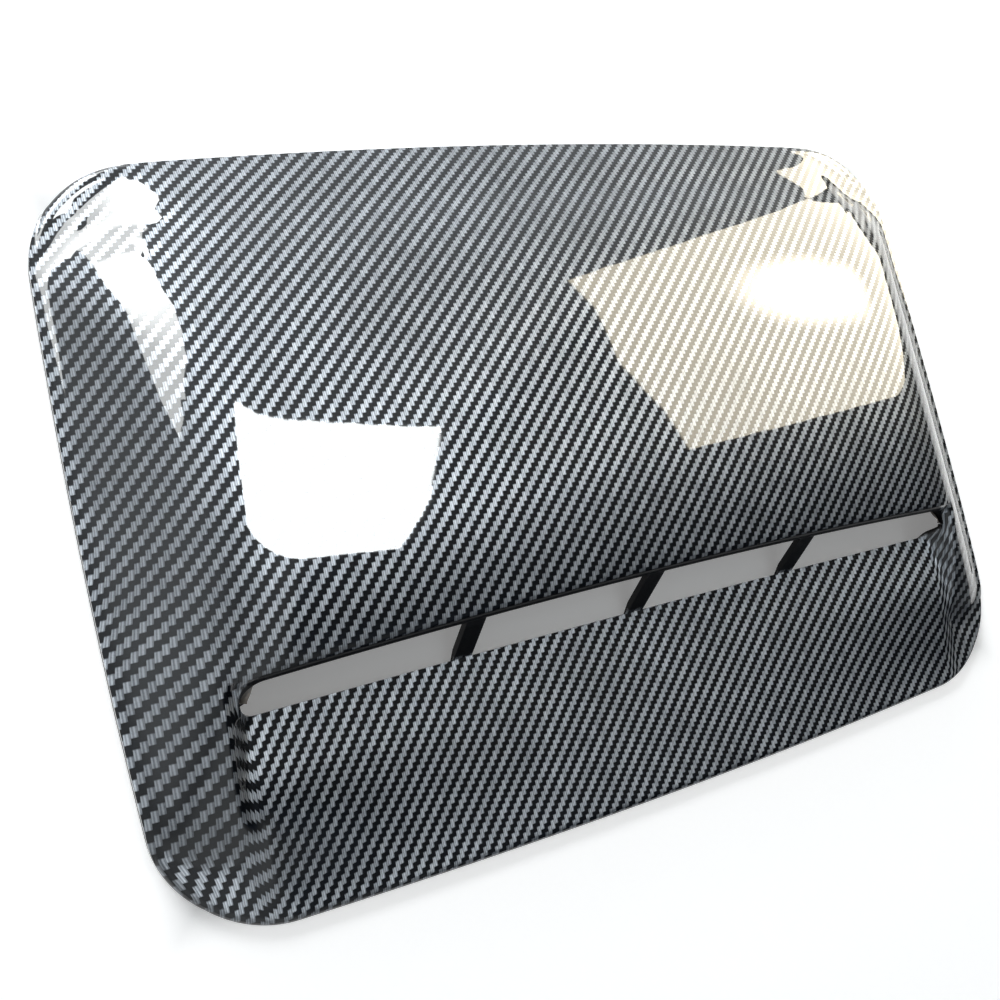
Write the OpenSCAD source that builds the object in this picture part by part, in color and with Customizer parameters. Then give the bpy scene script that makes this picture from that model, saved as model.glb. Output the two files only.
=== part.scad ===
// Bonnet scoop: one moulded plastic cover with four air openings above a sunken ramp.
// The origin lies under the middle of the plan, on the plane of the rim's underside.
// X runs across the car, the openings face -Y, and Z points up.

/* [Plan] */
// Width over the bowed sides
overall_width = 430; // [400:5:460]
// Depth over the bowed ends
overall_depth = 290; // [270:5:310]
// Radius of the two front corners
front_corner = 44; // [36:1:50]
// Radius of the two rear corners
rear_corner = 39; // [34:1:46]
// How far the front edge bows out at its middle
front_bow = 5.5; // [0:0.5:8]
// How far the rear edge bows out at its middle
rear_bow = 7; // [0:0.5:10]
// How far each side edge bows out at its middle
side_bow = 4; // [0:0.5:6]

/* [Shell] */
// Thickness of the moulded wall
wall = 2.6; // [2:0.1:3.2]
// Radius of the rolled outer edge
edge_radius = 3; // [2.8:0.1:3.6]
// Height of the small upright edge under the roll
edge_flat = 0.5; // [0.3:0.1:0.8]
// Width of the flat land under the rim that takes the adhesive
land_width = 9; // [7:0.5:11]
// Distance from the edge to where the flank starts to rise
flank_start = 3.6; // [3.2:0.2:5]
// Extra width of the flat crescent at the rear corners, where the dome is rounder than the rim
corner_flat = 14; // [8:1:18]
// Rise of the side flanks, as height over distance
side_rise = 0.8; // [0.74:0.02:0.88]
// Rise of the rear and front flanks, as height over distance
end_rise = 0.48; // [0.4:0.02:0.6]

/* [Crown] */
// Height of the highest point
crown_height = 36; // [32:0.5:40]
// Distance of the highest line behind the middle, negative is in front
crown_y = -5; // [-12:1:6]
// Fall of the top from the highest line to the rear edge
rear_fall = 33.5; // [31:0.5:36]
// Fall of the top from the highest line to the lip
lip_fall = 6; // [4:0.5:8]
// Fall of the top from its middle to the side edges
side_fall = 3; // [1:0.5:5]

/* [Openings] */
// Number of bars between the openings
bar_count = 3; // [2:1:4]
// Distance from one bar to the next
bar_pitch = 85.3; // [70:1:86]
// Width of a bar
bar_width = 8.4; // [6:0.2:11]
// Distance from a side edge to the row of openings
slot_margin = 37; // [35:0.5:41]
// Distance of the lip in front of the middle
lip_y = 52.7; // [48:0.5:58]
// Gap in plan between the lip and the ramp's rear edge
slot_gap = 14.1; // [12:0.5:16]
// Radius of the lip's rolled nose
nose_radius = 4; // [3.4:0.2:5]

/* [Ramp] */
// Rise of the ramp's surface from its middle to its ends
ramp_rise = 8; // [5:0.5:10]
// Rise of the ramp's side walls, as height over distance
wall_rise = 2.7; // [2.2:0.1:3.2]
// How far the side walls bow out between the openings and the front
wall_bow = 6; // [4:0.5:9]

/* [Hidden] */
half_w = overall_width / 2;
half_d = overall_depth / 2;
slot_half = half_w - slot_margin;
lip_row = -lip_y;
ramp_row = lip_row - slot_gap;
ramp_inset = 3;
// The round ends of the row: how far each long edge draws in, and over what length
lip_draw = 0.55 * slot_gap;
lip_run = 9.5;
ramp_draw = 0.36 * slot_gap;
ramp_run = 7;
// Slope of the top at the lip, and the curve of the side ridges in front of it
ridge_slope = 2 * lip_fall / (crown_y - lip_row);
ridge_end = half_d - 23;
ridge_reach = ridge_end - lip_y;
lip_top = crown_height - lip_fall;
rim_height = edge_flat + edge_radius;
ridge_curve = (lip_top - rim_height - ridge_slope * ridge_reach) / pow(ridge_reach, 2);
// Half widths of the blends where two surfaces meet
foot_blend = 7;
shoulder_blend = 17;
crest_blend = 6.5;
floor_blend = 6.5;

function clamp(v) = min(1, max(0, v));
function ease(v) = let (t = clamp(v)) t * t * (3 - 2 * t);
function blend_of(a, b, k) = pow(max(k - abs(a - b), 0), 3) / (6 * pow(max(k, 0.001), 2));
function soft_min(a, b, k) = min(a, b) - blend_of(a, b, k);
function soft_max(a, b, k) = max(a, b) + blend_of(a, b, k);
function span(a, b, n) = [for (i = [1:n]) a + (b - a) * i / n];
function mirrored(list) = [for (i = [len(list) - 1:-1:0]) -list[i]];

// Plan: a point of the rectangular layout is carried to the bowed plan with round corners
function corner_point(p, q) =
    let (m = max(p, q), turn = 45 * min(p, q) / m)
    p > q ? [m * cos(turn), m * sin(turn)] : [m * sin(turn), m * cos(turn)];
function rounded(x, y) =
    let (
        r = y < 0 ? front_corner : rear_corner,
        p = abs(x) - half_w + r,
        q = abs(y) - half_d + r,
        c = p > 0 && q > 0 ? corner_point(p, q) : [p, q]
    )
    [sign(x) * (half_w - r + c[0]), sign(y) * (half_d - r + c[1])];
function row_bow(y) = lookup(y, [
    [-half_d, front_bow],
    [ramp_row, -1],
    [lip_row, -5.6],
    [half_d, -rear_bow]
]);
// The two long edges of the openings draw together at the round ends
function end_draw(x, depth, run) =
    let (t = clamp((abs(x) - slot_half + run) / run))
    depth * (1 - sqrt(1 - t * t)) * (1 - ease((abs(x) - slot_half) / 16));
function laid_out(x, y) =
    let (
        lip_share = y > lip_row ? 1 - ease((y - lip_row) / 30) : clamp((y - ramp_row) / slot_gap),
        ramp_share = y < ramp_row ? 1 - ease((ramp_row - y) / 14) : clamp((lip_row - y) / slot_gap)
    )
    y + end_draw(x, ramp_draw, ramp_run) * ramp_share - end_draw(x, lip_draw, lip_run) * lip_share;
function plan_point(x, y) =
    let (
        c = rounded(x, y),
        sx = 1 - side_bow / half_w * pow(c[1] / half_d, 2)
    )
    [c[0] * sx, c[1] + row_bow(y) * pow(c[0] / half_w, 2)];

// Heights: the rolled edge, the flanks, the crowned top and the ramp with its side walls
function edge_height(d) =
    d < edge_radius
        ? edge_flat + sqrt(pow(edge_radius, 2) - pow(edge_radius - d, 2))
        : rim_height;
function inset(x, y) =
    let (
        p = half_w - abs(x),
        q = half_d - abs(y)
    )
    soft_min(p, q, 2.2 * max(0, min(p, q) - land_width));
function flank_height(x, y) =
    let (
        p = half_w - abs(x),
        q = half_d - abs(y),
        side_share = ease(2 * q / max(p + q, 0.01) - 0.5),
        rise = end_rise + (side_rise - end_rise) * side_share,
        corner = y > 0 ? ease(1 - p / 60) * ease(1 - q / 60) : 0,
        start = flank_start + corner_flat * corner
    )
    soft_max(rim_height, rim_height + rise * (inset(x, y) - start), foot_blend);
function crown(x, y) =
    let (
        q = lip_row - y,
        back = (y - crown_y) / (half_d - crown_y),
        front = (crown_y - y) / (crown_y - lip_row),
        profile = y > crown_y ? crown_height - rear_fall * back * back
            : y > lip_row ? crown_height - lip_fall * front * front
            : lip_top - ridge_slope * q - ridge_curve * q * q
    )
    profile - side_fall * pow(x / half_w, 2);
function nose_drop(x, y) =
    let (
        t = clamp((y - lip_row) / nose_radius),
        along = ease((slot_half + 7 - abs(x)) / 7)
    )
    along * nose_radius * (1 - sqrt(1 - pow(1 - t, 2)));
// Near the rear edge the crown runs on almost straight to the rim
function shoulder_at(x, y) =
    let (d = min(half_w - abs(x), half_d - abs(y)))
    shoulder_blend * (1 - 0.75 * ease(y / 60) * (1 - ease((d - 4) / 40)));
function body_height(x, y) =
    soft_min(flank_height(x, y), crown(x, y), shoulder_at(x, y)) - nose_drop(x, y);
function ramp_height(x, y) =
    let (
        across = min(1, pow(x / slot_half, 2)),
        along = ease((y + half_d - edge_radius) / 55) * (1 - ease((y - lip_row) / 20)),
        fade = 1 - ease((abs(x) - slot_half - 4) / 20)
    )
    edge_height(min(half_w - abs(x), half_d - abs(y))) + ramp_rise * across * along * fade;
function ramp_inside(x, y) =
    let (
        least = y > 45 - half_d ? 0.35 : -0.2,
        bulge = max(1 - pow((y + half_d - 45) / 33, 2), least),
        ex = slot_half - ramp_inset + wall_bow * bulge - abs(x),
        ey = ramp_row + 2.5 - y,
        r = 8
    )
    ex < r && ey < r ? r - norm([r - ex, r - ey]) : min(ex, ey);
function wall_height(x, y) = ramp_height(x, y) - wall_rise * ramp_inside(x, y);
function closed_height(x, y) =
    soft_max(
        ramp_height(x, y),
        soft_min(body_height(x, y), wall_height(x, y), crest_blend),
        floor_blend * clamp((half_d - abs(y) - edge_radius) / 10)
            * clamp((half_w - abs(x) - edge_radius) / 10)
    );
// The bars run straight from the ramp's rear edge to the lip
function skin_height(x, y, place) =
    abs(x) < slot_half && y > ramp_row && y < lip_row
        ? let (t = (y - ramp_row) / slot_gap)
            (1 - t) * closed_height(x, ramp_row) + t * closed_height(x, lip_row)
        : closed_height(x, place);

function outer_point(x, y) =
    let (place = laid_out(x, y), p = plan_point(x, place))
    [p[0], p[1], skin_height(x, y, place)];
// The wall is measured square to the surface, and the land under the rim is flat
function square_to(x, y) =
    let (
        h = 0.2,
        ys = y == ramp_row ? y - 0.3 : y == lip_row ? y + 0.3 : y,
        n = cross(
            outer_point(x + h, ys) - outer_point(x - h, ys),
            outer_point(x, ys + h) - outer_point(x, ys - h)
        )
    )
    n / norm(n);
function inner_point(x, y) =
    let (
        p = outer_point(x, y),
        d = min(half_w - abs(x), half_d - abs(y))
    )
    d <= land_width ? [p[0], p[1], 0]
        : let (q = p - wall * square_to(x, y)) [q[0], q[1], max(0, q[2])];

// Layout lines: across from the middle to the side, then along from the front to the rear
bar_first = -(bar_count - 1) / 2 * bar_pitch;
last_bar_edge = -bar_first + bar_width / 2;
bar_lines = [
    for (i = [0:bar_count - 1])
        for (x = concat(
            [bar_first + i * bar_pitch - bar_width / 2],
            [bar_first + i * bar_pitch + bar_width / 2],
            i < bar_count - 1
                ? [for (j = [1:4]) bar_first + i * bar_pitch + bar_width / 2
                    + (bar_pitch - bar_width) * j / 5]
                : []
        )) x
];
side_lines = concat(
    span(last_bar_edge, slot_half - lip_run, 5),
    [for (i = [1:6]) slot_half - lip_run + lip_run * sin(15 * i)],
    span(slot_half, half_w - land_width - 1, 7),
    span(half_w - land_width - 1, half_w - edge_radius, 2),
    [for (i = [1:3]) half_w - edge_radius + edge_radius * sin(30 * i)]
);
columns = concat(mirrored(side_lines), bar_lines, side_lines);
front_edge_rows = [for (i = [3:-1:0]) -half_d + edge_radius - edge_radius * sin(30 * i)];
rows = concat(
    front_edge_rows,
    span(-half_d + edge_radius, -half_d + land_width + 1, 2),
    span(-half_d + land_width + 1, ramp_row, 8),
    span(ramp_row, lip_row, 3),
    [for (i = [1:3]) lip_row + nose_radius - nose_radius * cos(30 * i)],
    span(lip_row + nose_radius, 90, 9),
    span(90, half_d - land_width - 1, 6),
    span(half_d - land_width - 1, half_d - edge_radius, 2),
    [for (i = [1:3]) half_d - edge_radius + edge_radius * sin(30 * i)]
);
nx = len(columns);
ny = len(rows);

// A cell between four layout lines is either skin or part of an opening
function in_bar(x) = len([
    for (i = [0:bar_count - 1])
        if (abs(x - bar_first - i * bar_pitch) < bar_width / 2) i
]) > 0;
cell_open = [
    for (i = [0:nx - 2])
        let (x = (columns[i] + columns[i + 1]) / 2)
        abs(x) < slot_half && !in_bar(x)
];
row_open = [
    for (j = [0:ny - 2])
        let (y = (rows[j] + rows[j + 1]) / 2)
        y > ramp_row && y < lip_row
];
function is_skin(i, j) =
    i >= 0 && j >= 0 && i < nx - 1 && j < ny - 1 && !(cell_open[i] && row_open[j]);
function id(i, j) = i * ny + j;

module scoop() {
    count = nx * ny;
    points = concat(
        [for (i = [0:nx - 1]) for (j = [0:ny - 1]) outer_point(columns[i], rows[j])],
        [for (i = [0:nx - 1]) for (j = [0:ny - 1]) inner_point(columns[i], rows[j])]
    );
    faces = [
        for (i = [0:nx - 2]) for (j = [0:ny - 2]) if (is_skin(i, j))
            let (a = id(i, j), b = id(i + 1, j), c = id(i + 1, j + 1), d = id(i, j + 1))
            for (f = concat(
                [[a, c, b], [a, d, c]],
                [[a + count, b + count, c + count], [a + count, c + count, d + count]],
                is_skin(i, j - 1) ? [] : [[a, b, b + count], [a, b + count, a + count]],
                is_skin(i + 1, j) ? [] : [[b, c, c + count], [b, c + count, b + count]],
                is_skin(i, j + 1) ? [] : [[c, d, d + count], [c, d + count, c + count]],
                is_skin(i - 1, j) ? [] : [[d, a, a + count], [d, a + count, d + count]]
            )) f
    ];
    color([0.2, 0.22, 0.25])
        polyhedron(points, faces);
}

scoop();
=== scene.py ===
import bpy
import math
import numpy as np
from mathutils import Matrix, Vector


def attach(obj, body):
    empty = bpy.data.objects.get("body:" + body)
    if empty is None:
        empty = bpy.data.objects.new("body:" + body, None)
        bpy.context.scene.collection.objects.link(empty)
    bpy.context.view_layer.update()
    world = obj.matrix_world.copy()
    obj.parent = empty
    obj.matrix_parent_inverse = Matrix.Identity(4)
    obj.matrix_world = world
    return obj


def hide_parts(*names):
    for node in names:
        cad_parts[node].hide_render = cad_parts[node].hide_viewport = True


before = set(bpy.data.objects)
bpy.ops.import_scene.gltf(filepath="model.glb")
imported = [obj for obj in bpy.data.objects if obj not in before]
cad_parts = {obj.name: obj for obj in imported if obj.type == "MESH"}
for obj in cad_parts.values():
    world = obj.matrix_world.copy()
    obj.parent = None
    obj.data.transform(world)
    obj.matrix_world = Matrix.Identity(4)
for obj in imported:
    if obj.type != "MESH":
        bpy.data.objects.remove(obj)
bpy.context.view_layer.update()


# The moulding: its form.
# One thin thermoplastic moulding: a crowned shell with four air openings
# under its lip and a sunk ramp in front of them, lying on a flat rim.

# All of the moulding's sizes are in millimetres, as on its drawing.
MM = 0.001
# The outline in plan, and how far its edges bow.
HALF_W = 215.0
HALF_D = 145.0
FRONT_CORNER = 44.0
REAR_CORNER = 39.0
FRONT_BOW = 5.5
REAR_BOW = 7.0
SIDE_BOW = 4.0
# The wall, the rounded rim and the flat land under it.
WALL = 2.6
EDGE_RADIUS = 3.0
EDGE_FLAT = 0.5
RIM_HEIGHT = EDGE_FLAT + EDGE_RADIUS
LAND_WIDTH = 9.0
# The slopes of the flanks, and the crown with its falls to the rear, the lip and the sides.
FLANK_START = 3.6
CORNER_FLAT = 14.0
SIDE_RISE = 0.80
END_RISE = 0.56
CROWN_HEIGHT = 36.0
CROWN_Y = -5.0
REAR_FALL = 33.0
LIP_FALL = 6.0
SIDE_FALL = 3.0
# The bars, the openings between them and the lip's nose above them.
BAR_PITCH = 85.3
BAR_WIDTH = 8.4
SLOT_HALF = 178.0
SLOT_GAP = 14.1
LIP_ROW = -52.7
RAMP_ROW = LIP_ROW - SLOT_GAP
LIP_DRAW = 0.55 * SLOT_GAP
LIP_RUN = 9.5
RAMP_DRAW = 0.36 * SLOT_GAP
RAMP_RUN = 7.0
NOSE_RADIUS = 4.0
# The ramp's rise towards its sides, and its side walls.
RAMP_RISE = 8.0
RAMP_INSET = 3.0
WALL_RISE = 2.7
WALL_BOW = 6.0
# The ridge on which the crown would run on in front of the lip; it is cut away there by the ramp.
RIDGE_END = 23.0
LIP_TOP = CROWN_HEIGHT - LIP_FALL
RIDGE_SLOPE = 2 * LIP_FALL / (CROWN_Y - LIP_ROW)
RIDGE_REACH = HALF_D - RIDGE_END + LIP_ROW
RIDGE_CURVE = (LIP_TOP - RIM_HEIGHT - RIDGE_SLOPE * RIDGE_REACH) / RIDGE_REACH ** 2
# How softly one surface runs into the next.
FOOT_BLEND = 7.0
SHOULDER_BLEND = 17.0
CREST_BLEND = 6.5
FLOOR_BLEND = 6.5
SMALL = 0.01


def clamp(v):
    return np.clip(v, 0.0, 1.0)


def ease(v):
    t = clamp(v)
    return t * t * (3 - 2 * t)


def blend_of(a, b, k):
    k = np.maximum(k, 0.001)
    return np.maximum(k - np.abs(a - b), 0) ** 3 / (6 * k * k)


def soft_min(a, b, k):
    return np.minimum(a, b) - blend_of(a, b, k)


def soft_max(a, b, k):
    return np.maximum(a, b) + blend_of(a, b, k)


# Beyond the openings the grid lines settle back to straight ones.
END_FADE = 16.0
LIP_SETTLE = 30.0
RAMP_SETTLE = 14.0


def end_draw(x, depth, run):
    """How far a long edge of the openings is drawn in at x to round their outer ends."""
    t = clamp((np.abs(x) - SLOT_HALF + run) / run)
    beyond = ease((np.abs(x) - SLOT_HALF) / END_FADE)
    return depth * (1 - np.sqrt(1 - t * t)) * (1 - beyond)


def laid_out(x, y):
    """The grid point's own place on the flat layout, with the openings' ends rounded."""
    behind_lip = 1 - ease((y - LIP_ROW) / LIP_SETTLE)
    lip_share = np.where(y > LIP_ROW, behind_lip, clamp((y - RAMP_ROW) / SLOT_GAP))
    before_ramp = 1 - ease((RAMP_ROW - y) / RAMP_SETTLE)
    ramp_share = np.where(y < RAMP_ROW, before_ramp, clamp((LIP_ROW - y) / SLOT_GAP))
    return y + end_draw(x, RAMP_DRAW, RAMP_RUN) * ramp_share - end_draw(x, LIP_DRAW, LIP_RUN) * lip_share


# How far the ends of the ramp's top row and of the lip lie from their middles; minus is forward.
RAMP_ROW_BOW = -1.0
LIP_ROW_BOW = -5.6


def plan_point(x, y):
    """Where the layout's point (x, y) lies in the bowed, rounded plan."""
    corner = np.where(y < 0, FRONT_CORNER, REAR_CORNER)
    p = np.abs(x) - HALF_W + corner
    q = np.abs(y) - HALF_D + corner
    inside = (p > 0) & (q > 0)
    most = np.maximum(np.maximum(p, q), 1e-6)
    turn = np.radians(45) * np.where(inside, np.minimum(p, q), 0) / most
    along = np.where(p > q, most * np.cos(turn), most * np.sin(turn))
    across = np.where(p > q, most * np.sin(turn), most * np.cos(turn))
    c0 = np.sign(x) * (HALF_W - corner + np.where(inside, along, p))
    c1 = np.sign(y) * (HALF_D - corner + np.where(inside, across, q))
    bows = [FRONT_BOW, RAMP_ROW_BOW, LIP_ROW_BOW, -REAR_BOW]
    row_bow = np.interp(y, [-HALF_D, RAMP_ROW, LIP_ROW, HALF_D], bows)
    narrowing = 1 - SIDE_BOW / HALF_W * (c1 / HALF_D) ** 2
    return c0 * narrowing, c1 + row_bow * (c0 / HALF_W) ** 2


def edge_height(d):
    d = np.minimum(d, EDGE_RADIUS)
    return EDGE_FLAT + np.sqrt(np.maximum(EDGE_RADIUS ** 2 - (EDGE_RADIUS - d) ** 2, 0))


# How two flanks meet at a corner of the plan, and the crescent outside the crown at the rear corners.
MEETING_WIDTH = 2.2
MEETING_DEPTH = 0.7
ROUND_FADE = 15.0
CRESCENT_DEPTH = 60.0
CRESCENT_HALF = 42.0


def flank_height(x, y):
    p = HALF_W - np.abs(x)
    q = HALF_D - np.abs(y)
    share = ease(2 * q / np.maximum(p + q, SMALL) - 0.5)
    rise = END_RISE + (SIDE_RISE - END_RISE) * share
    # Two flanks meet softly, and round the corners of the plan without a crease.
    near = np.minimum(p, q)
    k = MEETING_WIDTH * np.maximum(near - LAND_WIDTH, 0.001)
    t = clamp(np.abs(p - q) / k)
    round_part = ease((np.where(y < 0, FRONT_CORNER, REAR_CORNER) - near) / ROUND_FADE)
    meeting = (1 - t) ** 3 + (MEETING_DEPTH * (1 - t * t) ** 3 - (1 - t) ** 3) * round_part
    inset = near - k / 6 * meeting
    # The dome's own corners are rounder than the rim's, which leaves a flat crescent at the rear.
    about_corner = (1 - clamp(np.abs(p - q) / CRESCENT_HALF) ** 2) ** 2
    crescent = ease(1 - near / CRESCENT_DEPTH) * about_corner * (y > 0)
    up_flank = rise * (inset - FLANK_START - CORNER_FLAT * crescent)
    return soft_max(RIM_HEIGHT, RIM_HEIGHT + up_flank, FOOT_BLEND)


# The crown falls to its sides, and this fall fades out behind its middle.
SIDE_FALL_END = 30.0
SIDE_FALL_FADE = 90.0


def crown(x, y):
    q = LIP_ROW - y
    back = (y - CROWN_Y) / (HALF_D - CROWN_Y)
    front = (CROWN_Y - y) / (CROWN_Y - LIP_ROW)
    rear = CROWN_HEIGHT - REAR_FALL * back ** 2
    middle = CROWN_HEIGHT - LIP_FALL * front ** 2
    ridge = LIP_TOP - RIDGE_SLOPE * q - RIDGE_CURVE * q ** 2
    top = np.where(y > CROWN_Y, rear, np.where(y > LIP_ROW, middle, ridge))
    return top - SIDE_FALL * (x / HALF_W) ** 2 * (1 - ease((y - SIDE_FALL_END) / SIDE_FALL_FADE))


NOSE_END = 7.0


def nose_drop(x, y):
    t = clamp((y - LIP_ROW) / NOSE_RADIUS)
    return ease((SLOT_HALF + NOSE_END - np.abs(x)) / NOSE_END) * NOSE_RADIUS * (1 - np.sqrt(1 - (1 - t) ** 2))


# The ramp's rise begins at the front edge and ends behind the lip and beside the openings.
RAMP_START_FADE = 55.0
RAMP_END_FADE = 20.0
RAMP_OVERRUN = 4.0


def ramp_height(x, y):
    across = np.minimum(1, (x / SLOT_HALF) ** 2)
    along = ease((y + HALF_D - EDGE_RADIUS) / RAMP_START_FADE) * (1 - ease((y - LIP_ROW) / RAMP_END_FADE))
    fade = 1 - ease((np.abs(x) - SLOT_HALF - RAMP_OVERRUN) / RAMP_END_FADE)
    edge = edge_height(np.minimum(HALF_W - np.abs(x), HALF_D - np.abs(y)))
    return edge + RAMP_RISE * across * along * fade


# The ramp's side walls bulge outwards, most at this distance from the front edge.
BULGE_PLACE = 45.0
BULGE_HALF = 33.0
BULGE_AT_LIP = 0.35
BULGE_AT_FRONT = -0.2
RAMP_OVERLAP = 2.5
RAMP_CORNER = 8.0


def ramp_inside(x, y):
    """How far inside the ramp's rounded outline a point lies."""
    bulge = 1 - ((y + HALF_D - BULGE_PLACE) / BULGE_HALF) ** 2
    bulge = np.maximum(bulge, np.where(y > BULGE_PLACE - HALF_D, BULGE_AT_LIP, BULGE_AT_FRONT))
    ex = SLOT_HALF - RAMP_INSET + WALL_BOW * bulge - np.abs(x)
    ey = RAMP_ROW + RAMP_OVERLAP - y
    r = RAMP_CORNER
    return np.where((ex < r) & (ey < r), r - np.hypot(r - ex, r - ey), np.minimum(ex, ey))


# Where the shoulder is tighter: near the rear edge, but not in its corners.
TIGHT_RISE = 60.0
TIGHT_EDGE = 4.0
TIGHT_FADE = 24.0
TIGHT_HALF = 160.0
TIGHT_SIDE_FADE = 40.0
TIGHTNESS = 0.75
EDGE_FADE = 10.0


def closed_height(x, y):
    """The outer face's height, with the openings closed."""
    from_side = HALF_W - np.abs(x)
    from_end = HALF_D - np.abs(y)
    # Near the rear edge the crown runs on almost straight to the rim.
    tight = ease(y / TIGHT_RISE) * (1 - ease((from_end - TIGHT_EDGE) / TIGHT_FADE))
    tight = tight * (1 - ease((np.abs(x) - TIGHT_HALF) / TIGHT_SIDE_FADE))
    shoulder = SHOULDER_BLEND * (1 - TIGHTNESS * tight)
    body = soft_min(flank_height(x, y), crown(x, y), shoulder) - nose_drop(x, y)
    floor = ramp_height(x, y)
    walls = floor - WALL_RISE * ramp_inside(x, y)
    near_edge = clamp((from_end - EDGE_RADIUS) / EDGE_FADE) * clamp((from_side - EDGE_RADIUS) / EDGE_FADE)
    return soft_max(floor, soft_min(body, walls, CREST_BLEND), FLOOR_BLEND * near_edge)


def skin_point(x, y):
    """The outer face. Between the lip and the ramp the bars run straight from one to the other."""
    place = laid_out(x, y)
    px, py = plan_point(x, place)
    between = (np.abs(x) < SLOT_HALF) & (y > RAMP_ROW) & (y < LIP_ROW)
    low = closed_height(x, np.full_like(y, RAMP_ROW))
    high = closed_height(x, np.full_like(y, LIP_ROW))
    height = np.where(between, low + (high - low) * (y - RAMP_ROW) / SLOT_GAP, closed_height(x, place))
    return np.stack([px, py, height], -1)


NORMAL_STEP = 0.2
OFF_THE_EDGE = 0.3


def skin_normal(x, y):
    """The outer face's normal. On the openings' long edges it is taken a little off the edge."""
    h = NORMAL_STEP
    y = np.where(np.abs(y - LIP_ROW) < SMALL, y + OFF_THE_EDGE, y)
    y = np.where(np.abs(y - RAMP_ROW) < SMALL, y - OFF_THE_EDGE, y)
    x = np.clip(x, -HALF_W + h, HALF_W - h)
    y = np.clip(y, -HALF_D + h, HALF_D - h)
    n = np.cross(skin_point(x + h, y) - skin_point(x - h, y), skin_point(x, y + h) - skin_point(x, y - h))
    return n / np.linalg.norm(n, axis=-1, keepdims=True)


def stations(*runs):
    """Grid lines from runs of (start, end, cells, spacing); a round run crowds them towards its end."""
    lines = []
    for start, end, cells, spacing in runs:
        t = np.arange(cells) / cells
        if spacing == "round":
            t = np.sin(np.radians(90) * t)
        elif spacing == "round_start":
            t = 1 - np.cos(np.radians(90) * t)
        lines.extend(start + (end - start) * t)
    return lines + [runs[-1][1]]


# The grid has a line along every bar, every opening's edge and both turns of the rim.
bar = BAR_WIDTH / 2
side_turn = HALF_W - LAND_WIDTH - 1
rear_turn = HALF_D - LAND_WIDTH - 1
front_turn = LAND_WIDTH + 2 - HALF_D
REAR_FINE = 90.0
right_half = stations(
    (bar, BAR_PITCH - bar, 32, "even"), (BAR_PITCH - bar, BAR_PITCH + bar, 6, "even"),
    (BAR_PITCH + bar, SLOT_HALF - LIP_RUN, 28, "even"), (SLOT_HALF - LIP_RUN, SLOT_HALF, 16, "round"),
    (SLOT_HALF, side_turn, 28, "even"), (side_turn, HALF_W - EDGE_RADIUS, 5, "even"),
    (HALF_W - EDGE_RADIUS, HALF_W, 7, "round"))
columns = np.array([-v for v in right_half[::-1]] + list(np.linspace(-bar, bar, 7)[1:-1]) + right_half)
front_edge = [-v for v in stations((HALF_D - EDGE_RADIUS, HALF_D, 7, "round"))[::-1]]
rows = np.array(front_edge[:-1] + stations(
    (-HALF_D + EDGE_RADIUS, front_turn, 5, "even"), (front_turn, RAMP_ROW, 38, "even"),
    (RAMP_ROW, LIP_ROW, 6, "even"), (LIP_ROW, LIP_ROW + NOSE_RADIUS, 7, "round_start"),
    (LIP_ROW + NOSE_RADIUS, REAR_FINE, 62, "even"), (REAR_FINE, rear_turn, 24, "even"),
    (rear_turn, HALF_D - EDGE_RADIUS, 4, "even"), (HALF_D - EDGE_RADIUS, HALF_D, 7, "round")))
gx, gy = np.meshgrid(columns, rows)
outer = skin_point(gx, gy)
inner = outer - WALL * skin_normal(gx, gy)
edge_distance = np.minimum(HALF_W - np.abs(gx), HALF_D - np.abs(gy))
inner[..., 2] = np.maximum(inner[..., 2], 0)
on_land = edge_distance <= LAND_WIDTH + SMALL
inner[on_land, :2] = outer[on_land, :2]
inner[on_land, 2] = 0

middle_x = (columns[1:] + columns[:-1]) / 2
middle_y = (rows[1:] + rows[:-1]) / 2
from_bar = np.abs(middle_x - BAR_PITCH * np.clip(np.round(middle_x / BAR_PITCH), -1, 1))
open_row = (middle_y > RAMP_ROW) & (middle_y < LIP_ROW)
open_column = (from_bar > bar) & (np.abs(middle_x) < SLOT_HALF)
is_open = open_row[:, None] & open_column[None, :]

# The faces outside, inside, round the rim and along the cut edges of the openings.
across, deep = len(columns), len(rows)
number = np.arange(across * deep).reshape(deep, across)
below = number + across * deep
faces = []
is_inside = []
for j in range(deep - 1):
    for i in range(across - 1):
        if is_open[j, i]:
            continue
        faces.append((number[j, i], number[j, i + 1], number[j + 1, i + 1], number[j + 1, i]))
        faces.append((below[j, i], below[j + 1, i], below[j + 1, i + 1], below[j, i + 1]))
        is_inside.extend([0, 1])
        for dj, di, a, b in ((-1, 0, (j, i), (j, i + 1)), (1, 0, (j + 1, i + 1), (j + 1, i)),
                             (0, -1, (j + 1, i), (j, i)), (0, 1, (j, i + 1), (j + 1, i + 1))):
            in_grid = 0 <= j + dj < deep - 1 and 0 <= i + di < across - 1
            if not in_grid or is_open[j + dj, i + di]:
                faces.append((number[b], number[a], below[a], below[b]))
                is_inside.append(0)
used = np.unique(np.array(faces))
renumber = np.full(2 * across * deep, -1)
renumber[used] = np.arange(len(used))
points = np.concatenate([outer.reshape(-1, 3), inner.reshape(-1, 3)])[used] * MM
shell_mesh = bpy.data.meshes.new("scoop_moulding")
shell_mesh.from_pydata(points.tolist(), [], renumber[np.array(faces)].tolist())
shell_mesh.polygons.foreach_set("use_smooth", np.ones(len(faces), bool))
shell_mesh.polygons.foreach_set("material_index", np.array(is_inside, np.int32))
shell_mesh.update()
shell_mesh.set_sharp_from_angle(angle=math.radians(38))


# The moulding: its printed film.
# A woven pattern printed on a film that floats on water and wraps the
# moulding as it is dipped, so the weave stretches down the steep flanks.

# The width of one printed thread, in millimetres, and how far the threads lean to the right for each
# millimetre towards the rear.
TOW = 1.63
THREAD_LEAN = 0.03
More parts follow.
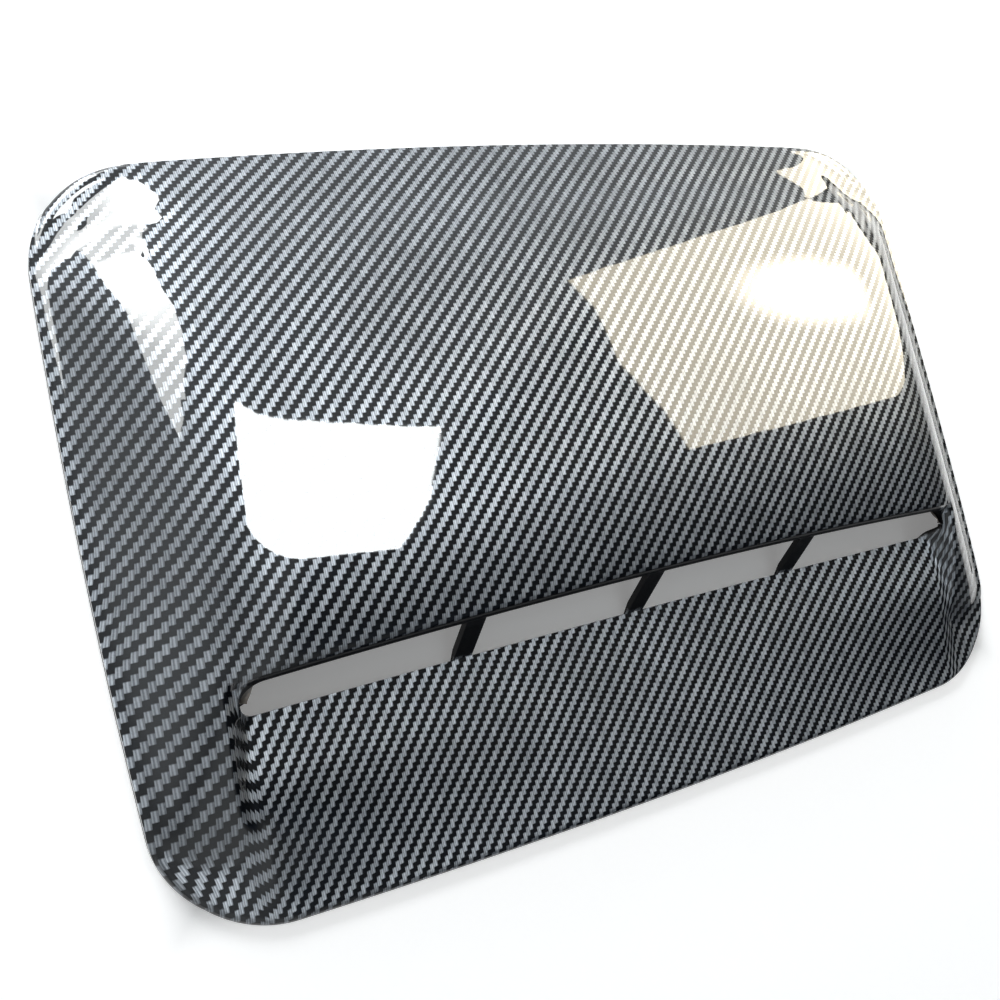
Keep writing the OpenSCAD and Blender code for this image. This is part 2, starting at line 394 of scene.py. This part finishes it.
# The twill's diagonal lines, counted for each millimetre to the right and to the rear, and how this
# count bends with x * x, x * y and y * y as the film is drawn over the crown or into the ramp.
BODY_LINES = (0.153, -0.1504, -0.03e-4, -0.21e-4, -0.86e-4)
RAMP_LINES = (0.1522, -0.1451, -0.80e-4, -0.05e-4, 0.20e-4)
# The film stretches by this share down the side flanks, most towards the openings.
STRETCH = 0.33
STRETCH_START = 184.0
PULL_START = 10.0
PULL_RISE = 60.0
PULL_END = -130.0
PULL_FADE = 25.0
# The two counts join across the openings and at the ramp's sides.
JOIN_ROW = -57.0
JOIN_FADE = 12.0
JOIN_SIDE = SLOT_HALF - 5
JOIN_SIDE_FADE = 10.0
ROWS_PER_LINE = 4


def lines_at(x, y, counts):
    right, rear, right_bend, twist, rear_bend = counts
    return right * x + rear * y + right_bend * x * x + twist * x * y + rear_bend * y * y


def film_place(x, y):
    """Threads counted across and along the film at a point of the plan."""
    pull = ease((PULL_START - y) / PULL_RISE) * ease((y - PULL_END) / PULL_FADE)
    x = x - np.sign(x) * STRETCH * pull * np.maximum(np.abs(x) - STRETCH_START, 0)
    body = lines_at(x, y, BODY_LINES)
    ramp = lines_at(x, y, RAMP_LINES)
    on_ramp = ease((JOIN_ROW - y) / JOIN_FADE) * (1 - ease((np.abs(x) - JOIN_SIDE) / JOIN_SIDE_FADE))
    thread = (x - THREAD_LEAN * y) / TOW
    return thread, thread - ROWS_PER_LINE * (body + (ramp - body) * on_ramp)


film_u, film_v = film_place(outer[..., 0], outer[..., 1])
film = np.zeros((across * deep * 2, 3))
film[:, 0] = np.tile(film_u.ravel(), 2)
film[:, 1] = np.tile(film_v.ravel(), 2)
shell_mesh.attributes.new("film", "FLOAT_VECTOR", "POINT").data.foreach_set("vector", film[used].ravel())

# The print thins out over the lip's nose and never takes on the bars behind it.
lip_cover = ease((gy - LIP_ROW - 0.8) / 2.4)
ramp_cover = ease((RAMP_ROW - gy + 0.6) / 0.8)
beside_slots = ease((np.abs(gx) - SLOT_HALF + 1) / 3)
cover = clamp(np.maximum(lip_cover, ramp_cover) + beside_slots)
cover_all = np.concatenate([cover.ravel(), np.zeros(across * deep)])
shell_mesh.attributes.new("print_cover", "FLOAT", "POINT").data.foreach_set("value", cover_all[used])

scoop = bpy.data.objects.new("scoop_moulding", shell_mesh)
bpy.context.scene.collection.objects.link(scoop)


def calc(tree, operation, *values, clamped=False):
    """A Math node fed by numbers or by other nodes' outputs; gives back its output."""
    node = tree.nodes.new("ShaderNodeMath")
    node.operation = operation
    node.use_clamp = clamped
    for socket, value in zip(node.inputs, values):
        if isinstance(value, (int, float)):
            socket.default_value = value
        else:
            tree.links.new(value, socket)
    return node.outputs[0]


def ramp_between(tree, value, low, high, to_low=0.0, to_high=1.0):
    """Value taken smoothly from low..high to to_low..to_high."""
    node = tree.nodes.new("ShaderNodeMapRange")
    node.interpolation_type = "SMOOTHSTEP"
    tree.links.new(value, node.inputs["Value"])
    node.inputs["From Min"].default_value = low
    node.inputs["From Max"].default_value = high
    node.inputs["To Min"].default_value = to_low
    node.inputs["To Max"].default_value = to_high
    return node.outputs["Result"]


def mix_colours(tree, share, first, second, kind="MIX"):
    """First taken towards second by share, or multiplied by it."""
    node = tree.nodes.new("ShaderNodeMix")
    node.data_type = "RGBA"
    node.blend_type = kind
    for name, value in (("Factor", share), ("A", first), ("B", second)):
        socket = node.inputs[name]
        if isinstance(value, (int, float, tuple)):
            socket.default_value = value
        else:
            tree.links.new(value, socket)
    return node.outputs["Result"]


def speckle(tree, vector, scale, detail=2.0):
    """Soft noise from 0 to 1, with scale spots to the metre."""
    node = tree.nodes.new("ShaderNodeTexNoise")
    node.inputs["Scale"].default_value = scale
    node.inputs["Detail"].default_value = detail
    tree.links.new(vector, node.inputs["Vector"])
    return node.outputs["Fac"]


# The twill: each printed thread shows for two rows, then dives under two, one row later in each next
# column. Its end is soft by a part of a row, its sides are darker, and two strands show in its width.
REPEAT = 4.0
SHOWN = 2.05
END_SOFT = (-0.12, 0.22)
SIDE_SOFT = (-0.02, 0.14)
SIDE_TONE = 0.45
STRAND_TURN = 12.57
STRAND_SLANT = 0.4
CROSS_TURN = 12.6

twill = bpy.data.node_groups.new("twill print", "ShaderNodeTree")
twill.interface.new_socket("Film", in_out="INPUT", socket_type="NodeSocketVector")
for output in ("Thread", "Strands", "Cross Strands", "Thread Tone"):
    twill.interface.new_socket(output, in_out="OUTPUT", socket_type="NodeSocketFloat")
start = twill.nodes.new("NodeGroupInput")
result = twill.nodes.new("NodeGroupOutput")
place = twill.nodes.new("ShaderNodeSeparateXYZ")
twill.links.new(start.outputs["Film"], place.inputs[0])
u, v = place.outputs[0], place.outputs[1]
column = calc(twill, "FLOOR", u)
in_column = calc(twill, "FRACT", u)
stepped = calc(twill, "SUBTRACT", v, column)
run = calc(twill, "FLOORED_MODULO", stepped, REPEAT)
from_end = calc(twill, "MINIMUM", run, calc(twill, "SUBTRACT", SHOWN, run))
long_mask = ramp_between(twill, from_end, *END_SOFT)
from_side = calc(twill, "SUBTRACT", 0.5, calc(twill, "ABSOLUTE", calc(twill, "SUBTRACT", in_column, 0.5)))
side_mask = ramp_between(twill, from_side, *SIDE_SOFT, SIDE_TONE, 1.0)
thread = calc(twill, "MULTIPLY", long_mask, side_mask)
slant = calc(twill, "MULTIPLY", run, STRAND_SLANT)
strand_phase = calc(twill, "ADD", calc(twill, "MULTIPLY", in_column, STRAND_TURN), slant)
strands = calc(twill, "MULTIPLY_ADD", calc(twill, "SINE", strand_phase), 0.5, 0.5)
cross_phase = calc(twill, "MULTIPLY", calc(twill, "FRACT", v), CROSS_TURN)
cross_strands = calc(twill, "MULTIPLY_ADD", calc(twill, "SINE", cross_phase), 0.5, 0.5)
each = twill.nodes.new("ShaderNodeCombineXYZ")
twill.links.new(column, each.inputs[0])
twill.links.new(calc(twill, "FLOOR", calc(twill, "DIVIDE", stepped, REPEAT)), each.inputs[1])
tone = twill.nodes.new("ShaderNodeTexWhiteNoise")
twill.links.new(each.outputs[0], tone.inputs["Vector"])
twill.links.new(thread, result.inputs["Thread"])
twill.links.new(strands, result.inputs["Strands"])
twill.links.new(cross_strands, result.inputs["Cross Strands"])
twill.links.new(tone.outputs["Value"], result.inputs["Thread Tone"])

THREAD_COLOUR = (0.32, 0.34, 0.369, 1)
THREAD_SHADE = (0.046, 0.054, 0.067, 1)
GAP_COLOUR = (0.0016, 0.0026, 0.0050, 1)
GAP_STRAND = (0.0075, 0.0105, 0.016, 1)
BARE_COLOUR = (0.0026, 0.0028, 0.0042, 1)
THREAD_METAL = 0.5
LACQUER_ROUGHNESS = 0.025
LACQUER_IOR = 1.5
BASE_SHINE = 0.04

film_gloss = bpy.data.materials.new("printed_film_gloss")
film_gloss.use_nodes = True
tree = film_gloss.node_tree
shader = tree.nodes["Principled BSDF"]
film_at = tree.nodes.new("ShaderNodeAttribute")
film_at.attribute_name = "film"
cover_at = tree.nodes.new("ShaderNodeAttribute")
cover_at.attribute_name = "print_cover"
where = tree.nodes.new("ShaderNodeTexCoord")
weave = tree.nodes.new("ShaderNodeGroup")
weave.node_tree = twill
tree.links.new(film_at.outputs["Vector"], weave.inputs["Film"])
body_place = where.outputs["Object"]
blotch = speckle(tree, body_place, 22.0, 3.0)
fine = speckle(tree, body_place, 1900.0, 2.0)
strand_tone = calc(tree, "MULTIPLY_ADD", weave.outputs["Strands"], 0.62,
                   calc(tree, "MULTIPLY", weave.outputs["Thread Tone"], 0.25))
strand_tone = calc(tree, "ADD", strand_tone, calc(tree, "MULTIPLY_ADD", fine, 0.5, -0.12), clamped=True)
thread_colour = mix_colours(tree, strand_tone, THREAD_SHADE, THREAD_COLOUR)
gap_tone = calc(tree, "MULTIPLY", weave.outputs["Cross Strands"], fine, clamped=True)
gap_colour = mix_colours(tree, gap_tone, GAP_COLOUR, GAP_STRAND)
print_colour = mix_colours(tree, weave.outputs["Thread"], gap_colour, thread_colour)
dense = ramp_between(tree, blotch, 0.3, 0.7, 0.86, 1.08)
print_colour = mix_colours(tree, 1.0, print_colour, dense, "MULTIPLY")
tears = calc(tree, "MULTIPLY_ADD", speckle(tree, body_place, 900.0), 0.5, -0.25)
torn = calc(tree, "ADD", cover_at.outputs["Fac"], tears)
cover_share = ramp_between(tree, torn, 0.35, 0.65)
colour = mix_colours(tree, cover_share, BARE_COLOUR, print_colour)
tree.links.new(colour, shader.inputs["Base Color"])
printed_thread = calc(tree, "MULTIPLY", weave.outputs["Thread"], cover_share)
metal = calc(tree, "MULTIPLY", printed_thread, THREAD_METAL)
tree.links.new(metal, shader.inputs["Metallic"])
under_gloss = ramp_between(tree, fine, 0.3, 0.7, 0.42, 0.52)
tree.links.new(under_gloss, shader.inputs["Roughness"])
tree.links.new(ramp_between(tree, cover_share, 0.0, 1.0, 0.3, 1.0), shader.inputs["Coat Weight"])
shader.inputs["Coat Roughness"].default_value = LACQUER_ROUGHNESS
shader.inputs["Coat IOR"].default_value = LACQUER_IOR
shader.inputs["Specular IOR Level"].default_value = BASE_SHINE
# The lacquer flows out almost flat: a long soft wave and a few settled specks are left in it.
wave = speckle(tree, body_place, 75.0, 1.0)
settle = tree.nodes.new("ShaderNodeTexVoronoi")
settle.inputs["Scale"].default_value = 95.0
tree.links.new(body_place, settle.inputs["Vector"])
nib = ramp_between(tree, settle.outputs["Distance"], 0.0, 0.045, 1.0, 0.0)
rare = calc(tree, "GREATER_THAN", speckle(tree, body_place, 60.0), 0.62)
nib = calc(tree, "MULTIPLY", nib, rare)
lacquer = tree.nodes.new("ShaderNodeBump")
lacquer.inputs["Strength"].default_value = 0.12
lacquer.inputs["Distance"].default_value = 0.0002
tree.links.new(calc(tree, "MULTIPLY_ADD", nib, 0.25, wave), lacquer.inputs["Height"])
tree.links.new(lacquer.outputs["Normal"], shader.inputs["Normal"])
tree.links.new(lacquer.outputs["Normal"], shader.inputs["Coat Normal"])


# The moulding: its bare inside.
# Unprinted plastic straight from the tool: satin, faintly grained and made
# dull and greyish brown by overspray from the lacquering of its outer face.

PLASTIC_COLOUR = (0.155, 0.130, 0.105, 1)
OVERSPRAY_COLOUR = (0.20, 0.168, 0.138, 1)

bare = bpy.data.materials.new("dull_inside")
bare.use_nodes = True
tree = bare.node_tree
shader = tree.nodes["Principled BSDF"]
where = tree.nodes.new("ShaderNodeTexCoord")
grain = speckle(tree, where.outputs["Object"], 1400.0, 2.0)
haze = speckle(tree, where.outputs["Object"], 30.0, 4.0)
sprayed = ramp_between(tree, haze, 0.35, 0.7)
dull_colour = mix_colours(tree, sprayed, PLASTIC_COLOUR, OVERSPRAY_COLOUR)
tree.links.new(dull_colour, shader.inputs["Base Color"])
tree.links.new(ramp_between(tree, haze, 0.3, 0.75, 0.5, 0.66), shader.inputs["Roughness"])
mould_grain = tree.nodes.new("ShaderNodeBump")
mould_grain.inputs["Strength"].default_value = 0.3
mould_grain.inputs["Distance"].default_value = 0.0001
tree.links.new(grain, mould_grain.inputs["Height"])
tree.links.new(mould_grain.outputs["Normal"], shader.inputs["Normal"])

shell_mesh.materials.append(film_gloss)
shell_mesh.materials.append(bare)
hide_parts("scoop")
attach(scoop, "root")


# The table it lies on.
# A plain white matt table top, wide enough to fill the view.

# Sizes in metres. The lifts are how much brighter than lit the table looks, beside and under the part; the
# smaller lift under the part is painted shade.
TABLE_HALF = 4.0
TABLE_WHITE = (0.90, 0.90, 0.90, 1)
TABLE_PALE = (0.93, 0.93, 0.93, 1)
TABLE_LIFT = 0.57
PAINTED_SHADE_LIFT = 0.2
PAINTED_SHADE_HALF_W = 0.205
PAINTED_SHADE_HALF_D = 0.13

table_corners = [(sx * TABLE_HALF, sy * TABLE_HALF, 0) for sx, sy in ((-1, -1), (1, -1), (1, 1), (-1, 1))]
table_mesh = bpy.data.meshes.new("table")
table_mesh.from_pydata(table_corners, [], [(0, 1, 2, 3)])
table = bpy.data.objects.new("table", table_mesh)
bpy.context.scene.collection.objects.link(table)
table_white = bpy.data.materials.new("table_white")
table_white.use_nodes = True
tree = table_white.node_tree
shader = tree.nodes["Principled BSDF"]
where = tree.nodes.new("ShaderNodeTexCoord")
cloud = speckle(tree, where.outputs["Object"], 9.0, 3.0)
tree.links.new(mix_colours(tree, cloud, TABLE_WHITE, TABLE_PALE), shader.inputs["Base Color"])
shader.inputs["Roughness"].default_value = 0.7
shader.inputs["Specular IOR Level"].default_value = 0.2
# The camera sees the table a little brighter than it is lit, up to white, and keeps its shadows.
seen = tree.nodes.new("ShaderNodeLightPath")
lift = tree.nodes.new("ShaderNodeEmission")
directly = calc(tree, "ADD", seen.outputs["Is Camera Ray"], seen.outputs["Is Glossy Ray"])
directly = calc(tree, "ADD", directly, seen.outputs["Is Transmission Ray"], clamped=True)
# Under the moulding the lift is smaller over a rectangle round the part: painted shade on the table there.
beside = tree.nodes.new("ShaderNodeVectorMath")
beside.operation = "ABSOLUTE"
tree.links.new(where.outputs["Object"], beside.inputs[0])
away = tree.nodes.new("ShaderNodeSeparateXYZ")
tree.links.new(beside.outputs["Vector"], away.inputs[0])
past_side = calc(tree, "SUBTRACT", away.outputs["X"], PAINTED_SHADE_HALF_W)
past_end = calc(tree, "SUBTRACT", away.outputs["Y"], PAINTED_SHADE_HALF_D)
outside = calc(tree, "MAXIMUM", past_side, past_end)
lifted = ramp_between(tree, outside, -0.01, 0.012, PAINTED_SHADE_LIFT, TABLE_LIFT)
tree.links.new(calc(tree, "MULTIPLY", directly, lifted), lift.inputs["Strength"])
both = tree.nodes.new("ShaderNodeAddShader")
tree.links.new(shader.outputs[0], both.inputs[0])
tree.links.new(lift.outputs[0], both.inputs[1])
tree.links.new(both.outputs[0], tree.nodes["Material Output"].inputs["Surface"])
table_mesh.materials.append(table_white)


# The camera and the light.
# One soft daylight lamp lights the part. The gloss alone mirrors three bright
# windows and a dim room, and the camera sees plain white behind the table.

camera_data = bpy.data.cameras.new("camera")
camera_data.sensor_width = 36
camera_data.lens = 40.575
camera_data.clip_start = 0.01
camera = bpy.data.objects.new("camera", camera_data)
camera.location = (-0.2736, -0.0451, 0.4074)
camera.rotation_euler = (math.radians(11.56), math.radians(-26.933), math.radians(-15.03))
bpy.context.scene.collection.objects.link(camera)
bpy.context.scene.camera = camera


def direction_share(tree, towards, low, high, to_low, to_high):
    """How far a ray of the room points towards a direction, taken to to_low..to_high."""
    ray = tree.nodes.new("ShaderNodeTexCoord")
    dot = tree.nodes.new("ShaderNodeVectorMath")
    dot.operation = "DOT_PRODUCT"
    tree.links.new(ray.outputs["Generated"], dot.inputs[0])
    dot.inputs[1].default_value = towards
    return ramp_between(tree, dot.outputs["Value"], low, high, to_low, to_high)


# The room is pale to the left and behind, and dark and bluish to the front and right of the moulding.
ROOM_DARK = (0.35, 0.6, 1.0, 1)
ROOM_PALE = (0.93, 0.98, 1.0, 1)
ROOM_AS_LIGHT = 0.34

world = bpy.data.worlds.new("room")
world.use_nodes = True
bpy.context.scene.world = world
tree = world.node_tree
room = tree.nodes["Background"]
unlit = direction_share(tree, (0.90, -0.29, 0.33), 0.54, 0.64, 1.0, 0.03)
low_behind = direction_share(tree, (-0.45, 0.75, -0.48), -0.4, 0.35, 0.5, 1.3)
ahead = direction_share(tree, (-0.10, -0.75, 0.65), 0.78, 0.95, 0.0, 0.35)
room_light = calc(tree, "MULTIPLY_ADD", unlit, low_behind, ahead)
paleness = ramp_between(tree, room_light, 0.0, 0.3)
tree.links.new(mix_colours(tree, paleness, ROOM_DARK, ROOM_PALE), room.inputs["Color"])
# The gloss shows the room as it is; as a light it is weaker than the daylight.
seen = tree.nodes.new("ShaderNodeLightPath")
in_gloss = calc(tree, "ADD", seen.outputs["Is Glossy Ray"], seen.outputs["Is Transmission Ray"], clamped=True)
room_share = calc(tree, "MULTIPLY_ADD", in_gloss, 1 - ROOM_AS_LIGHT, ROOM_AS_LIGHT)
tree.links.new(calc(tree, "MULTIPLY", room_light, room_share), room.inputs["Strength"])
# Behind the table the camera sees plain white.
white = tree.nodes.new("ShaderNodeBackground")
white.inputs["Color"].default_value = (1, 1, 1, 1)
either = tree.nodes.new("ShaderNodeMixShader")
tree.links.new(seen.outputs["Is Camera Ray"], either.inputs["Fac"])
tree.links.new(room.outputs[0], either.inputs[1])
tree.links.new(white.outputs[0], either.inputs[2])
tree.links.new(either.outputs[0], tree.nodes["World Output"].inputs["Surface"])


def window(name, corners, colour, strength, core=None, core_reach=1.0, core_strength=0.0):
    """A bright window of the room, seen only as a reflection; its daylight comes from the soft lamp below."""
    mesh = bpy.data.meshes.new(name)
    mesh.from_pydata(corners, [], [tuple(range(len(corners)))])
    glow = bpy.data.materials.new(name)
    glow.use_nodes = True
    tree = glow.node_tree
    tree.nodes.remove(tree.nodes["Principled BSDF"])
    lit = tree.nodes.new("ShaderNodeEmission")
    lit.inputs["Color"].default_value = colour + (1,)
    lit.inputs["Strength"].default_value = strength
    if core:
        # The middle of the window is brighter, where the sky shows through it.
        spot = tree.nodes.new("ShaderNodeTexCoord")
        gap = tree.nodes.new("ShaderNodeVectorMath")
        gap.operation = "DISTANCE"
        tree.links.new(spot.outputs["Object"], gap.inputs[0])
        gap.inputs[1].default_value = core
        tree.links.new(ramp_between(tree, gap.outputs["Value"], 0.0, core_reach, core_strength, strength),
                       lit.inputs["Strength"])
    tree.links.new(lit.outputs[0], tree.nodes["Material Output"].inputs["Surface"])
    mesh.materials.append(glow)
    piece = bpy.data.objects.new(name, mesh)
    piece.visible_camera = False
    piece.visible_diffuse = False
    piece.visible_transmission = False
    piece.visible_shadow = False
    bpy.context.scene.collection.objects.link(piece)


def sightlines(eye, height, angles):
    """Points at a height, each given by its angle round from +X and its elevation as the eye sees it."""
    corners = []
    for around, elevation in angles:
        run = (height - eye[2]) / math.tan(math.radians(elevation))
        x = eye[0] + run * math.cos(math.radians(around))
        y = eye[1] + run * math.sin(math.radians(around))
        corners.append((x, y, height))
    return corners


ROOF_WINDOW = [(0.90, 2.60, 5.0), (2.34, 1.65, 5.0), (1.89, -0.51, 5.0), (-0.55, 0.62, 5.0)]
window("roof_window", ROOF_WINDOW, (0.95, 0.99, 1.0), 26.0)
# The side window is drawn as it is seen from the left flank, where the photo shows its mirror image.
LEFT_FLANK = (-0.18, 0.08, 0.0)
SIDE_WINDOW = [(88, 26), (87, 33), (85.5, 38), (83, 43), (82.5, 50), (87, 56), (93, 59), (102, 60.5),
               (110, 61), (120, 61), (129, 60.5), (138, 57), (147, 54.5), (153, 50.5), (159, 45.5),
               (156, 42), (147, 43), (139, 44.2), (128, 44), (118, 42.5), (113, 40), (113, 30),
               (108, 22), (104, 4.5), (82, 4.5), (84, 14), (85, 20)]
window("side_window", sightlines(LEFT_FLANK, 4.0, SIDE_WINDOW),
       (0.97, 1.0, 1.0), 12.5, core=(-0.62, 6.4, 4.0), core_reach=4.4, core_strength=34.0)
FAR_WINDOW = [(1.09, 1.22, 1.22), (1.15, 1.08, 0.70), (1.182, 1.01, 0.48), (1.245, 0.87, 0.20),
              (1.335, 0.68, 0.13), (1.505, 0.32, 0.20), (1.55, 0.23, 0.72), (1.58, 0.17, 1.95),
              (1.29, 0.79, 1.65)]
window("far_window", FAR_WINDOW,
       (1.0, 0.92, 0.74), 9.4, core=(1.32, 0.72, 0.91), core_reach=0.24, core_strength=48.0)


def lamp(name, place, aim, size, power, colour):
    """A soft rectangular lamp that lights the object without showing in its gloss."""
    data = bpy.data.lights.new(name, "AREA")
    data.shape = "RECTANGLE"
    data.size, data.size_y = size
    data.energy = power
    data.color = colour
    piece = bpy.data.objects.new(name, data)
    piece.location = place
    piece.rotation_euler = (Vector(place) - Vector(aim)).to_track_quat("Z", "Y").to_euler()
    piece.visible_glossy = False
    piece.visible_camera = False
    bpy.context.scene.collection.objects.link(piece)


lamp("daylight", (-0.25, 1.8, 0.66), (0, 0, 0), (1.4, 0.6), 38, (0.96, 0.98, 1.0))

bpy.context.scene.view_settings.view_transform = "Standard"
